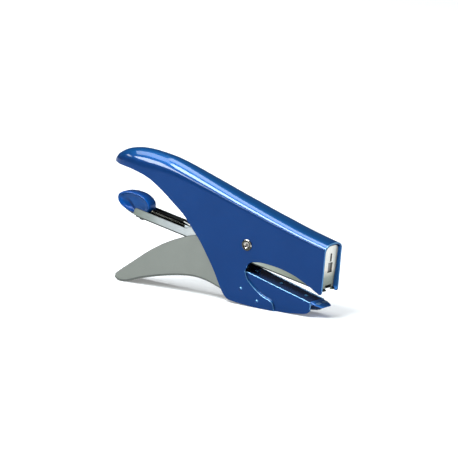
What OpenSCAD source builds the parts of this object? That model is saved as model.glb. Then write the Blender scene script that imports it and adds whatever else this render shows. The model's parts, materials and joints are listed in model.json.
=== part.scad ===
// Hand-held plier stapler: a pressed shell whose nose and lower jaw are one
// piece, a squeeze lever and a rear-loading magazine on one hollow rivet, and
// a driver blade that the lever's nose pushes down through the magazine head.
// +X points at the stapling end, +Z up. The tool stands on the lever's tail
// and the jaw's flat; the origin is under the middle of its bounding box.

/* [Pivot] */
// Pivot axis, distance ahead of the origin
pivot_x = 24.7; // [24.5:0.1:25]
// Pivot axis, height above the surface the tool stands on
pivot_z = 41; // [41:0.5:44]
// Radius of the hollow rivet's shank
pin_r = 2; // [1.8:0.1:2.1]
// Radius of the rivet's head
rivet_head_r = 3.9; // [3.4:0.1:4.4]
// Radial running clearance on the rivet
run_gap = 0.05; // [0.02:0.01:0.1]

/* [Shell] */
// Overall width of the pressed shell
shell_w = 19.6; // [19.6:0.1:20.4]
// Sheet thickness of the shell
shell_t = 1.2; // [1:0.05:1.2]
// How far the front of the jaw is pressed in on each side
jaw_step = 1.5; // [1.4:0.1:1.6]
// Slope of the jaw's top edge, in millimetres down per millimetre forward
jaw_slope = 0.249; // [0.24:0.001:0.26]

/* [Lever] */
// Overall width of the squeeze lever
lever_w = 16.9; // [16.7:0.1:16.9]
// Sheet thickness of the lever
lever_t = 1.1; // [0.9:0.05:1.1]
// Radius of the nose pin that works the driver
nose_pin_r = 1.5; // [1.2:0.1:1.6]

/* [Magazine] */
// Tilt of the magazine at rest, nose down
mag_tilt = 10; // [9.5:0.1:10.5]
// Overall width of the magazine channel
mag_w = 14.4; // [14:0.1:14.4]
// Sheet thickness of the channel
mag_t = 0.6; // [0.5:0.05:0.6]
// Height of the channel's underside, measured from the pivot across the tilt
mag_bottom = -12.3; // [-12.6:0.1:-12.2]
// Width of the staple core
core_w = 11.6; // [11.2:0.1:11.8]
// Radius of the guide rod
rod_r = 1.3; // [1.1:0.1:1.5]

/* [Driver] */
// Tilt of the driver's plane at rest
head_tilt = 5; // [4.5:0.1:5.5]
// Thickness of the driver blade
blade_t = 0.7; // [0.5:0.05:0.75]
// Width of the driver blade
blade_w = 12.8; // [12.4:0.1:12.9]

/* [Hidden] */

half_w = shell_w/2;
plate_in = half_w - shell_t + 0.02;
plate_out = half_w - 0.02;
cheek_out = half_w - jaw_step;
cheek_in = cheek_out - shell_t;
mag_half = mag_w/2;
mag_in = mag_half - mag_t;
floor_top = mag_bottom + mag_t;
core_half = core_w/2;
core_top = -5.3;
rod_n = -7.9;
lever_out = lever_w/2;
lever_in = lever_out - lever_t;
blade_u = 58.35;

// ---- helpers -------------------------------------------------------------
// point on a smooth curve through control points, t from 0 to 1 in segment i
function cr(a, b, c, d, t) = 0.5*((2*b) + (c - a)*t + (2*a - 5*b + 4*c - d)*t*t
                                  + (3*b - a - 3*c + d)*t*t*t);
function spl(p, k) = let(n = len(p)) concat(
    [for (i = [0:n-2]) for (j = [0:k-1])
        cr(p[max(i-1, 0)], p[i], p[i+1], p[min(i+2, n-1)], j/k)], [p[n-1]]);
function rev(p) = [for (i = [len(p)-1:-1:0]) p[i]];
function shift(p, d) = [for (q = p) q + d];
// height of a curve p (sorted by x) at x
function at(p, x) = lookup(x, p);
// a point of the driver's frame, written in the magazine's frame
function h2m(u, v) = let(a = mag_tilt - head_tilt)
    [u*cos(a) - v*sin(a), u*sin(a) + v*cos(a)];

module place() { translate([pivot_x, 0, pivot_z]) children(); }
module mag() { place() rotate([0, mag_tilt, 0]) children(); }
module head() { place() rotate([0, head_tilt, 0]) children(); }
// a side profile (x, z) drawn across the tool from y0 to y1
module across(y0, y1) { translate([0, y1, 0]) rotate([90, 0, 0]) linear_extrude(y1 - y0) children(); }
module both() { children(); mirror([0, 1, 0]) children(); }
module pin_y(r, x, z, y0, y1) { translate([x, y1, z]) rotate([90, 0, 0]) cylinder(r = r, h = y1 - y0, $fn = 48); }
module rod_x(r, x0, x1, z) { translate([x0, 0, z]) rotate([0, 90, 0]) cylinder(r = r, h = x1 - x0, $fn = 48); }

// a wire swept along points, with s sides
function unit(v) = v/norm(v);
module wire(p, r, s = 6) {
    n = len(p);
    pts = [for (i = [0:n-1])
        let(t = unit(p[min(i+1, n-1)] - p[max(i-1, 0)]),
            up = abs(t[1]) > 0.9 ? [1, 0, 0] : [0, 1, 0],
            a = unit(cross(t, up)), b = cross(t, a))
        for (k = [0:s-1]) p[i] + r*(a*cos(360*k/s) + b*sin(360*k/s))];
    faces = concat([[for (k = [0:s-1]) k]],
        [for (i = [0:n-2]) for (k = [0:s-1]) for (f = [0:1])
            let(q = (k+1)%s, a = i*s+k, b = i*s+q, c = (i+1)*s+q, d = (i+1)*s+k)
            f == 0 ? [a, d, b] : [b, d, c]],
        [[for (k = [s-1:-1:0]) (n-1)*s+k]]);
    polyhedron(points = pts, faces = faces, convexity = 4);
}

// ---- outlines, measured from the pivot -----------------------------------
// crest of the shell, tail to nose
crest = spl([[-112, 38], [-111.2, 40], [-109.5, 42.3], [-107, 44.2], [-103, 46.4],
             [-98, 48], [-92, 49], [-85, 49.2], [-78, 48.7], [-66, 47], [-54, 43.9],
             [-41, 39.8], [-28, 35.6], [-15, 31.4], [-2, 27.4], [11, 23.4],
             [24, 19.6], [36.5, 16], [50, 12.6], [62.2, 9.7]], 3);
// lower edge of the shell's tail
tail_low = [[-112.5, 37.5], [-108, 37.1], [-105, 36.7], [-99, 36.3], [-93, 35.6],
            [-84, 33.4], [-76.5, 30], [-67, 23.9], [-59.5, 18.2], [-51.5, 12]];
// drop from the crest to the top of the flat side, and how square the corner is
function drop0(x) = lookup(x, [[-112, 13], [-78, 13], [-54, 10.5], [-28, 8], [-2, 6.5], [30, 5.4], [63, 5]]);
function square(x) = lookup(x, [[-112, 2], [-78, 2.1], [-28, 2.4], [30, 2.5], [63, 2.5]]);
function drop(x) = min(drop0(x), at(crest, x) - at(tail_low, min(x, -60)) > 0 || x > -60
                       ? (x > -60 ? drop0(x) : at(crest, x) - at(tail_low, x)) : 0.3);
function plan(x, w) = x > -85 ? w : w*sqrt(max(0.0009, 1 - pow((-85 - x)/27.05, 2)));
function side_top(x) = at(crest, x) - drop(x);
function low(x) = x < -60 ? at(tail_low, x) : side_top(x) - 3;
nose_lean = 2.7/30.1;

// pressed step between the wide rear and the narrow front of the jaw
step = spl([[0.2, -15.2], [-1, -17.4], [-0.8, -20.4], [1.6, -24.4], [7.8, -29.5],
            [14, -33], [18.6, -34.6], [21.3, -36.8], [22.2, -41]], 3);
step_in = [for (q = step) [q[0] - 1, max(-41, q[1] - 0.8)]];

plate_outline = concat(
    [for (x = [-72:4:56]) [x, side_top(x) - 0.5]],
    [[62.4, side_top(62.4) - 0.5]],
    [[60.3, -22.6], [59.9, -23.5], [58.9, -24.2], [57.8, -24.1]],
    rev(spl([[4, -11.1], [10.7, -10.2], [19.3, -10.7], [28.4, -12], [37.7, -14.5],
         [43, -16.7], [48.8, -19.3], [52, -21], [57, -23.8]], 3)),
    [[2.2, -12], [1, -13.2], [0.3, -14.4]],
    step,
    [[12, -41]],
    spl([[6, -40.9], [-1.6, -40.4], [-9, -39.7], [-13.6, -39], [-15.9, -37.8], [-18.5, -35],
         [-22, -29], [-26, -21.3], [-31.5, -12.6], [-38, -3.2], [-44.9, 4.6],
         [-51.5, 12], [-59.5, 18.2], [-67, 23.9]], 3),
    [[-72, 27.3]]);

cheek_outline = concat(
    [[50.3, -18.6 - jaw_slope*49.2]],
    spl([[50.6, -31.6], [50.4, -34.4], [50, -36.4], [48.6, -38.2], [46, -39.2],
         [42, -39.8], [35, -40.6], [27, -41]], 3),
    [[21.2, -41]],
    [for (q = rev(step_in)) if (q[1] > -41 && q[1] < -18.8) q],
    [[-1.8, -18.6 + jaw_slope*2.9]]);

// ---- shell ---------------------------------------------------------------
ns = len(crest);
ma = 14;
function lean(x, z) = x + (x > 46 ? (z - 6)*nose_lean*(x - 46)/16.2 : 0);
// one point of the roof skin, inset by g
function skin(i, j, g) = let(
    x0 = crest[i][0], x = x0 + (x0 < -100 ? g*pow((-100 - x0)/12, 2) : 0),
    w = max(0.25, plan(x0, half_w) - g), zc = crest[i][1] - g,
    dr = max(0.15, min(drop(x0), crest[i][1] - g - low(x0) - 0.1)), zl = low(x0), n = square(x0),
    a = 180*(j - 1)/(ma - 2), c = cos(a), s = sin(a))
    j == 0 ? [lean(x, zl), -w, zl] : j == ma ? [lean(x, zl), w, zl] :
    let(y = -w*sign(c)*pow(abs(c), 2/n), z = zc - dr + dr*pow(max(s, 0), 2/n))
    [lean(x, z), y, z];

module roof() {
    m = ma + 1;
    o = ns*m;
    pts = concat([for (i = [0:ns-1]) for (j = [0:ma]) skin(i, j, 0)],
                 [for (i = [0:ns-1]) for (j = [0:ma]) skin(i, j, shell_t)]);
    faces = concat(
        [for (i = [0:ns-2]) for (j = [0:ma-1]) for (f = [0:1])
            let(a = i*m+j, b = a+1, c = a+m+1, d = a+m) f == 0 ? [a, b, d] : [b, c, d]],
        [for (i = [0:ns-2]) for (j = [0:ma-1]) for (f = [0:1])
            let(a = o+i*m+j, b = a+1, c = a+m+1, d = a+m) f == 0 ? [a, d, b] : [b, d, c]],
        [for (j = [1:ma-1]) [0, j+1, j]],
        [for (j = [1:ma-1]) [o, o+j, o+j+1]],
        [[0, o, o+ma], [0, o+ma, ma]],
        [for (i = [0:ns-2]) for (f = [0:1])
            let(a = i*m, b = a+m, c = o+b, d = o+a) f == 0 ? [a, b, d] : [b, c, d]],
        [for (i = [0:ns-2]) for (f = [0:1])
            let(a = i*m+ma, b = a+m, c = o+b, d = o+a) f == 0 ? [a, d, b] : [b, d, c]],
        [for (j = [0:ma-1]) for (f = [0:1])
            let(a = (ns-1)*m+j, b = a+1, c = o+b, d = o+a) f == 0 ? [a, b, d] : [b, c, d]]);
    polyhedron(points = pts, faces = faces, convexity = 6);
}

module body_shell() {
    color([0.10, 0.24, 0.58]) place() {
        roof();
        both() difference() {
            union() {
                across(plate_in, plate_out) polygon(plate_outline);
                across(cheek_in, cheek_out) polygon(cheek_outline);
                across(cheek_in, plate_out) polygon(concat(step, rev(step_in)));
            }
            pin_y(pin_r, 0, 0, 8, 11);
            for (q = [[-4, -30], [9, -36.5]]) pin_y(1.2, q[0], q[1], 6, 11);
        }
    }
}

// ---- lower jaw -----------------------------------------------------------
arm_half = cheek_in - 0.05;
function arm_z(x) = -18.9 - jaw_slope*(x - 1.1);
arm_flange = concat([[-8, arm_z(-8)], [49.6, arm_z(49.6)], [49.6, -37.4], [46, -38.4]],
                    spl([[40, -39], [30, -39.8], [18, -40], [4, -39.6], [-5, -38.6]], 2),
                    [[-9, -36]]);
module anvil_arm() {
    color([0.06, 0.10, 0.30]) place() {
        across(-arm_half, arm_half)
            polygon([[-8, arm_z(-8)], [49.6, arm_z(49.6)], [49.6, arm_z(49.6) - 1], [-8, arm_z(-8) - 1]]);
        both() difference() {
            across(arm_half - 1, arm_half) polygon(arm_flange);
            for (q = [[-4, -30], [9, -36.5]]) pin_y(1.2, q[0], q[1], 5, 9);
        }
        for (x = [1.8, 21.7, 41.7])
            translate([x, 0, arm_z(x) - 0.3]) rotate([0, atan(jaw_slope), 0]) {
                cylinder(r = 1.5, h = 0.6, $fn = 48);
                cylinder(r = 0.9, h = 0.85, $fn = 48);
            }
    }
}

tip_top = [[49.6, -30.4], [58.2, -33.05]];
module anvil_tip() {
    color([0.08, 0.18, 0.48]) place() difference() {
        union() {
            across(-(arm_half - 1.15), arm_half - 1.15)
                polygon([[36, arm_z(36) - 1], [49.6, arm_z(49.6) - 1], [49.6, arm_z(49.6) - 2.3], [36, arm_z(36) - 2.3]]);
            intersection() {
                across(-8, 8) polygon([tip_top[0], tip_top[1], [57.85, -34.2], [51.5, -32.9],
                                       [51, -33.3], [49.6, arm_z(49.6) - 2.3]]);
                translate([0, 0, -45]) linear_extrude(30)
                    polygon([[49.6, -7], [54, -7.2], [55, -6.9], [57.8, -5.4], [58.2, -4.8],
                             [58.2, 4.8], [57.8, 5.4], [55, 6.9], [54, 7.2], [49.6, 7]]);
            }
        }
        both() translate([53.9, 3.9, -30.75]) rotate([90, 0, 0]) cylinder(r = 1.35, h = 4.4, center = true, $fn = 48);
    }
}

module jaw_rivets() {
    color([0.14, 0.32, 0.70]) place()
        for (q = [[-4, -30], [9, -36.5]]) {
            pin_y(1.2, q[0], q[1], -half_w, half_w);
            both() {
                pin_y(1.45, q[0], q[1], plate_out, plate_out + 0.35);
                pin_y(0.9, q[0], q[1], plate_out + 0.3, plate_out + 0.6);
            }
        }
}

module pivot_rivet() {
    color("silver") place() difference() {
        union() {
            pin_y(pin_r, 0, 0, -plate_out, plate_out);
            both() {
                pin_y(rivet_head_r, 0, 0, plate_out, plate_out + 0.6);
                translate([0, plate_out + 0.6, 0]) rotate([-90, 0, 0])
                    rotate_extrude($fn = 64) translate([rivet_head_r - 1.1, 0]) circle(r = 0.6, $fn = 24);
            }
        }
        pin_y(1.2, 0, 0, -12, 12);
        both() pin_y(1.9, 0, 0, plate_out + 0.1, 12);
    }
}

// ---- lever ---------------------------------------------------------------
lever_low = spl([[-105.7, -38.4], [-104.6, -39.9], [-102.8, -40.7], [-99.6, -41], [-94, -40.1],
                 [-84.7, -36.8], [-73, -33.6], [-61, -31], [-49.5, -29.2], [-41, -28.9],
                 [-33, -29.9], [-25.5, -32], [-20.5, -33.8]], 3);
lever_top = spl([[-105.7, -38.4], [-105.2, -37.2], [-103, -35], [-97.4, -30.7], [-89, -24.6], [-81.5, -19],
                 [-73.5, -13.8], [-66, -9.6], [-58, -5.8], [-50, -2.7], [-41.5, -0.3],
                 [-34, 3], [-28, 7.5], [-22, 10.4], [-15, 10], [-4, 8.5], [16, 9], [36, 8.6],
                 [47, 6.7], [51.5, 5.9]], 3);
lever_outline = concat(lever_top,
    [[53, 4.7], [53.4, 3], [52.6, 1.2], [51, 0.2]],
    spl([[46, -0.8], [30, -4.4], [14, -7.6], [5, -9], [-4, -11], [-10, -15.4],
         [-14.5, -22.5], [-18, -30]], 3),
    rev(lever_low));
module lever_shell() {
    color([0.56, 0.59, 0.58]) place() {
        both() difference() {
            across(lever_in, lever_out) polygon(lever_outline);
            pin_y(pin_r + run_gap, 0, 0, 5, 11);
            pin_y(nose_pin_r, 50, 3.5, 5, 11);
            pin_y(1.25, -22, 8, 5, 11);
        }
        across(-lever_in - 0.2, lever_in + 0.2)
            polygon(concat(lever_low, [for (i = [len(lever_low)-1:-1:0])
                let(q = lever_low[i], t = unit(lever_low[min(i+1, len(lever_low)-1)] - lever_low[max(i-1, 0)]))
                q + lever_t*[-t[1], t[0]]]));
    }
}
module nose_pin() { color("silver") place() pin_y(nose_pin_r, 50, 3.5, -8.4, 8.4); }
module spring_bar() { color("silver") place() pin_y(1.25, -22, 8, -8.4, 8.4); }

// torsion spring wound round the rivet, pushing the lever's tail down
module return_spring() {
    turns = 5; n = 12;
    coil = [for (i = [0:turns*n]) let(a = 100 + 360*i/n)
        [2.6*cos(a), -4.6 + 1.84*i/n, 2.6*sin(a)]];
    color([0.25, 0.25, 0.27]) place() wire(concat(
        [[-20.9, -4.8, 30.3], [-19.4, -4.8, 29.9], [-17.8, -4.8, 28.2]],
        [[-2.3, -4.7, 3.4]],
        coil,
        [[-1.9, 4.7, 3.4], [-19, 4.8, 9.7], [-24, 4.8, 9.8], [-25, 4.8, 9.2]]), 0.4, 6);
}

// ---- magazine ------------------------------------------------------------
module magazine_channel() {
    wall_rear = -6.3; wall_front = -3.6;
    f0 = h2m(52.95, -8); f1 = h2m(52.95, 0);
    fx = f0[0] + (wall_front - f0[1])*(f1[0] - f0[0])/(f1[1] - f0[1]);
    bx = f0[0] + (mag_bottom - f0[1])*(f1[0] - f0[0])/(f1[1] - f0[1]);
    e0 = h2m(58.2, -17); e1 = h2m(58.2, -16);
    ex = e0[0] + (mag_bottom - e0[1])*(e1[0] - e0[0])/(e1[1] - e0[1]);
    color([0.80, 0.80, 0.80]) mag() {
        both() difference() {
            across(mag_in, mag_half) polygon(concat(
                [[-92, -11], [-92, -7.2], [-91.1, wall_rear], [-50, wall_rear], [-46, wall_front],
                 [-9, wall_front], [-5.5, 0.5]],
                [for (a = [160:-20:20]) [4.6*cos(a), 4.6*sin(a)]],
                [[5.5, 0.5], [9, wall_front], [fx, wall_front], [bx, mag_bottom], [-90.7, mag_bottom], [-91.7, -11.8]]));
            pin_y(pin_r + run_gap, 0, 0, 5, 9);
        }
        difference() {
            across(-mag_in - 0.1, mag_in + 0.1) polygon([[-91, mag_bottom], [-91, floor_top],
                [ex - 0.05, floor_top], [ex, mag_bottom]]);
            for (x = [-38, 0, 38]) translate([x, 0, mag_bottom - 1]) cylinder(r = 0.9, h = 3, $fn = 32);
        }
    }
}

module staple_core() {
    a0 = h2m(58.2, -17); a1 = h2m(58.2, -9);
    function front(n) = a0[0] + (n - a0[1])*(a1[0] - a0[0])/(a1[1] - a0[1]);
    color([0.86, 0.86, 0.86]) mag() {
        both() across(core_half - 0.6, core_half)
            polygon([[-50, floor_top], [front(floor_top), floor_top], [front(core_top), core_top],
                     [-44, core_top], [-50, -8.6]]);
        difference() {
            across(-core_half + 0.3, core_half - 0.3)
                polygon([[-50, floor_top], [front(floor_top), floor_top], [front(floor_top + 0.6), floor_top + 0.6], [-50, floor_top + 0.6]]);
            for (x = [-38, 0, 38]) translate([x, 0, -14]) cylinder(r = 0.9, h = 5, $fn = 32);
        }
    }
}

module core_rivets() {
    color("silver") mag() for (x = [-38, 0, 38]) {
        translate([x, 0, mag_bottom - 0.25]) cylinder(r = 1.5, h = 0.25, $fn = 32);
        translate([x, 0, mag_bottom]) cylinder(r = 0.9, h = 1.2, $fn = 32);
    }
}

module magazine_cover() {
    color([0.92, 0.91, 0.86]) mag() across(-mag_in, mag_in)
        polygon([[-53, -2.4], [-45.5, -3.6], [51, -3.6], [51, -4.2], [-45.6, -4.2], [-53.1, -3]]);
}

// cheeks that carry the front plate and guide the blade's edges
module head_guide() {
    color([0.75, 0.75, 0.74]) head() {
        both() across(mag_in, mag_half)
            polygon([[52.95, -16.7], [52.95, 8], [54.5, 9.6], [59.15, 9.6], [59.15, -17.3]]);
        both() across(mag_in - 1, mag_in) polygon([[55.5, -8], [55.5, -5.2], [58.15, -5.2], [58.15, -8]]);
    }
}

// arched nickel plate in the shell's open nose
module front_plate() {
    arch = [for (a = [0:12:180]) [7.2*sign(cos(a))*pow(abs(cos(a)), 0.62), 8.4 + 4.6*pow(sin(a), 0.62)]];
    color([0.90, 0.88, 0.82]) head() difference() {
        union() {
            translate([59.15, 0, 0]) rotate([90, 0, 90]) linear_extrude(0.8)
                polygon(concat(arch, [[-7.2, -3], [-6.2, -8.5], [-6.2, -17.4], [6.2, -17.4], [6.2, -8.5], [7.2, -3]]));
            across(-6.2, 6.2) polygon([[59.9, -17.4], [61.3, -17.2], [61.3, -16.6], [59.9, -15.6]]);
        }
        translate([58, -0.9, 2.2]) cube([5, 1.8, 5.6]);
        translate([58, -2.4, -5.2]) cube([5, 4.8, 6.8]);
        translate([58, -3.4, -18]) cube([5, 6.8, 4.2]);
    }
}

module coil_z(x, z0, z1, r, w, turns, n = 12) {
    wire([for (i = [0:turns*n]) let(a = 360*i/n)
        [x + r*cos(a), r*sin(a), z0 + w + (z1 - z0 - 2*w)*i/(turns*n)]], w, 6);
}
module driver_spring() { color([0.25, 0.25, 0.27]) head() coil_z(50, -7.6, 4.85, 2.2, 0.35, 6); }

// ---- driver --------------------------------------------------------------
module driver_blade() {
    color([0.62, 0.63, 0.64]) head() difference() {
        translate([blade_u, -blade_w/2, -9.7]) cube([blade_t, blade_w, 18.5]);
        for (y = [-3.2, 3.2]) translate([57, y, 6.6]) rotate([0, 90, 0]) cylinder(r = 0.8, h = 4, $fn = 32);
    }
}
module driver_carrier() {
    color([0.45, 0.46, 0.47]) head() difference() {
        across(-5, 5) polygon([[47, 6.2], [48.2, 4.9], [blade_u, 4.9], [blade_u, 9.6], [54, 10.8], [48.2, 10.8], [47, 9.6]]);
        for (u = [49.5, 50.1]) pin_y(nose_pin_r + 0.2, u, 7.84, -6, 6);
        across(-6, 6) polygon([[49.5, 7.84 - nose_pin_r - 0.2], [50.1, 7.84 - nose_pin_r - 0.2],
                               [50.1, 7.84 + nose_pin_r + 0.2], [49.5, 7.84 + nose_pin_r + 0.2]]);
        for (y = [-3.2, 3.2]) translate([55, y, 6.6]) rotate([0, 90, 0]) cylinder(r = 0.8, h = 5, $fn = 32);
    }
}
module driver_rivets() {
    color("silver") head() for (y = [-3.2, 3.2])
        translate([55, y, 6.6]) rotate([0, 90, 0]) cylinder(r = 0.8, h = blade_u + blade_t - 55, $fn = 32);
}

// ---- loader --------------------------------------------------------------
knob_outline = spl([[-108.8, -5.3], [-108.3, -2.7], [-104.8, 0], [-98.6, 1.8], [-91.5, 2.1], [-86.4, 0.7],
                    [-83.2, -1.8], [-82.4, -5], [-82.8, -8.6], [-85, -11], [-90, -11.4], [-97.5, -11.4],
                    [-103, -10.4], [-107.2, -8.1], [-108.8, -5.3]], 4);
module loader_knob() {
    color([0.12, 0.28, 0.66]) mag() difference() {
        union() {
            across(-4.5, 4.5) polygon([for (q = knob_outline) [-95 + (q[0] + 95)*0.96, -4.6 + (q[1] + 4.6)*0.94]]);
            across(-3.5, 3.5) polygon(knob_outline);
        }
        both() across(3.9, 5) polygon([for (q = knob_outline) [-95.6 + (q[0] + 95)*0.74, -4.2 + (q[1] + 4.6)*0.66]]);
        rod_x(rod_r, -94, -80, rod_n);
    }
}
module guide_rod() { color([0.2, 0.2, 0.22]) mag() rod_x(rod_r, -94, 47, rod_n); }
module rod_collar() {
    color([0.3, 0.3, 0.32]) mag() difference() { rod_x(2.4, -82.3, -81, rod_n); rod_x(rod_r, -84, -79, rod_n); }
}
module rod_tip() {
    color([0.3, 0.3, 0.32]) mag() difference() { rod_x(2.2, 45, 46.6, rod_n); rod_x(rod_r, 44, 48, rod_n); }
}
module pusher_spring() {
    turns = 13; n = 12; r = 2; w = 0.3;
    color([0.12, 0.12, 0.14]) mag() wire([for (i = [0:turns*n]) let(a = 360*i/n)
        [-80.7 + 28.4*i/(turns*n), r*cos(a), rod_n + r*sin(a)]], w, 6);
}
module latch_leaf() {
    color([0.7, 0.7, 0.7]) mag() across(-2.4, 2.4)
        polygon([[-101.5, -11.45], [-96, -12.6], [-84.4, -12.6], [-84.4, -13], [-96.1, -13], [-101.7, -11.85]]);
}
module latch_button() {
    color([0.1, 0.1, 0.11]) mag() across(-2.4, 2.4)
        polygon([[-91, -13], [-90.4, -14], [-89, -14.8], [-87, -14.6], [-85.2, -13]]);
}

// ---- pusher --------------------------------------------------------------
module pusher_block() {
    color([0.3, 0.3, 0.33]) mag() difference() {
        across(-4.9, 4.9) polygon([[-52, -10.9], [-40, -10.9], [-40, -5.35], [-52, -5.35]]);
        rod_x(rod_r + 0.06, -54, -38, rod_n);
    }
}
module pusher_slipper() {
    color([0.88, 0.88, 0.86]) mag() {
        across(-6.4, 6.4) polygon([[-52, -5.2], [-39, -5.2], [-39, -4.7], [-52, -4.7]]);
        both() across(5.95, 6.4) polygon([[-52, -4.7], [-39, -4.7], [-39, -11.2], [-48, -11.2], [-52, -8.5]]);
        across(-4.4, 4.4) polygon([[-51, -5.35], [-42, -5.35], [-42, -5.1], [-51, -5.1]]);
    }
}

body_shell();
anvil_arm();
anvil_tip();
jaw_rivets();
pivot_rivet();
lever_shell();
nose_pin();
spring_bar();
return_spring();
magazine_channel();
staple_core();
magazine_cover();
head_guide();
front_plate();
core_rivets();
driver_spring();
driver_blade();
driver_carrier();
driver_rivets();
loader_knob();
guide_rod();
rod_collar();
rod_tip();
pusher_spring();
latch_leaf();
latch_button();
pusher_block();
pusher_slipper();
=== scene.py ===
import json
import math

import bmesh
import bpy
from mathutils import Matrix, Vector


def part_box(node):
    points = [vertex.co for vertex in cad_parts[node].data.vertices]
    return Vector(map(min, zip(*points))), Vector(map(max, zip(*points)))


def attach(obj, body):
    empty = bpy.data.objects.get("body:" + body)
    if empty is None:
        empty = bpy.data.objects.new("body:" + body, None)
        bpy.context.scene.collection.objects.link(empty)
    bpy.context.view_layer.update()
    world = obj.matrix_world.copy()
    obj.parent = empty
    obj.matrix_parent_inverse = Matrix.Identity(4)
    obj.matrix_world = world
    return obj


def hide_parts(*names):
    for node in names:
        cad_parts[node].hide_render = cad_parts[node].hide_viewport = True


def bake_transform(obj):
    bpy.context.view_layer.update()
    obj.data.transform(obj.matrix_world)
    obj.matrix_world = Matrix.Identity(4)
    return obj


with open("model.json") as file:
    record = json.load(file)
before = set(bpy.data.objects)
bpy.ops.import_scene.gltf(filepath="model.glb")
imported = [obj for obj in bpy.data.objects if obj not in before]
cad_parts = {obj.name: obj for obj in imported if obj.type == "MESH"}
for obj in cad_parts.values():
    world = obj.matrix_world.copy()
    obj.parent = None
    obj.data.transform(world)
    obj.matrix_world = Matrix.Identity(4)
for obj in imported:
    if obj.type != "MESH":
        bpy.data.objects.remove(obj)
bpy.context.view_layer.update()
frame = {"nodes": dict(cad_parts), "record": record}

NODES = frame["nodes"]
BODY = {n: b for b, ns in frame["record"]["behaviour"]["bodies"].items() for n in ns}
SLOT = {s["node"]: s["material_slot"] for s in frame["record"]["subparts"]}
MM = 0.001

# the pivot's place comes from the frame itself
_lo, _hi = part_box("pivot_rivet")
PX, PZ = (_lo.x + _hi.x) / 2, (_lo.z + _hi.z) / 2


# ---------------------------------------------------------------- frames
def P(p):
    """design point in mm, from the pivot -> row frame"""
    return (PX + p[0] * MM, p[1] * MM, PZ + p[2] * MM)


def tilt(deg):
    c, s = math.cos(math.radians(deg)), math.sin(math.radians(deg))
    return lambda p: P((p[0] * c + p[2] * s, p[1], -p[0] * s + p[2] * c))


MAG, HEAD = tilt(10), tilt(5)


# ---------------------------------------------------------------- curves
def cr(a, b, c, d, t):
    return 0.5 * (2 * b + (c - a) * t + (2 * a - 5 * b + 4 * c - d) * t * t + (3 * b - a - 3 * c + d) * t ** 3)


def spl(p, k):
    n, out = len(p), []
    for i in range(n - 1):
        q = (p[max(i - 1, 0)], p[i], p[i + 1], p[min(i + 2, n - 1)])
        for j in range(k):
            out.append(tuple(cr(q[0][m], q[1][m], q[2][m], q[3][m], j / k) for m in range(len(p[0]))))
    return out + [tuple(p[-1])]


def lookup(x, tab):
    if x <= tab[0][0]:
        return tab[0][1]
    for (x0, y0), (x1, y1) in zip(tab, tab[1:]):
        if x <= x1:
            return y0 + (y1 - y0) * (x - x0) / (x1 - x0)
    return tab[-1][1]


def lerp(a, b, t):
    return tuple(a[i] + (b[i] - a[i]) * t for i in range(len(a)))


def smooth(t):
    t = max(0.0, min(1.0, t))
    return t * t * (3 - 2 * t)


def resample(p, n, closed=False):
    """n + 1 points (n if closed) evenly along the polyline p"""
    q = list(p) + ([p[0]] if closed else [])
    d = [0.0]
    for a, b in zip(q, q[1:]):
        d.append(d[-1] + math.dist(a, b))
    out, i = [], 0
    for k in range(n if closed else n + 1):
        s = d[-1] * k / n
        while i < len(d) - 2 and d[i + 1] < s:
            i += 1
        out.append(lerp(q[i], q[i + 1], (s - d[i]) / max(1e-9, d[i + 1] - d[i])))
    return out


def normals2(p):
    """unit normal to the left of travel at each point of an open 2D polyline"""
    out = []
    for i in range(len(p)):
        a, b = p[max(i - 1, 0)], p[min(i + 1, len(p) - 1)]
        dx, dy = b[0] - a[0], b[1] - a[1]
        l = math.hypot(dx, dy) or 1
        out.append((-dy / l, dx / l))
    return out


# ---------------------------------------------------------------- meshes
def finish_mesh(name, verts, faces, weights=None, sharp_deg=38):
    me = bpy.data.meshes.new(name)
    me.from_pydata([tuple(v) for v in verts], [], [tuple(f) for f in faces])
    me.validate()
    bm = bmesh.new()
    bm.from_mesh(me)
    bm.verts.ensure_lookup_table()
    bmesh.ops.recalc_face_normals(bm, faces=bm.faces)
    lay = bm.edges.layers.float.get("bevel_weight_edge") or bm.edges.layers.float.new("bevel_weight_edge")
    lim = math.radians(sharp_deg)
    for e in bm.edges:
        w = 0.0
        if weights:
            w = weights.get((min(e.verts[0].index, e.verts[1].index), max(e.verts[0].index, e.verts[1].index)), 0.0)
        e[lay] = w
        e.smooth = not (w == 0.0 and len(e.link_faces) == 2 and e.calc_face_angle(0.0) > lim)
    for f in bm.faces:
        f.smooth = True
    bm.to_mesh(me)
    bm.free()
    ob = bpy.data.objects.new(name, me)
    bpy.context.scene.collection.objects.link(ob)
    return ob


def bevel(ob, width, segments=3, mode="WEIGHT", angle=32, weighted=True, rim=None):
    b = ob.modifiers.new("Bevel", "BEVEL")
    b.width = width * MM
    b.segments = segments
    b.limit_method = mode
    if mode == "ANGLE":
        b.angle_limit = math.radians(angle)
    b.use_clamp_overlap = mode == "ANGLE"
    b.miter_outer = "MITER_ARC"
    b.harden_normals = False
    b.profile = 0.5
    # the rolled edges take the rim material, a painted highlight or painted shade
    if rim:
        b.material = 1
        ob["rim"] = rim
    if weighted:
        w = ob.modifiers.new("Normals", "WEIGHTED_NORMAL")
        w.weight = 60
        w.keep_sharp = True
    return ob


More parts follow.
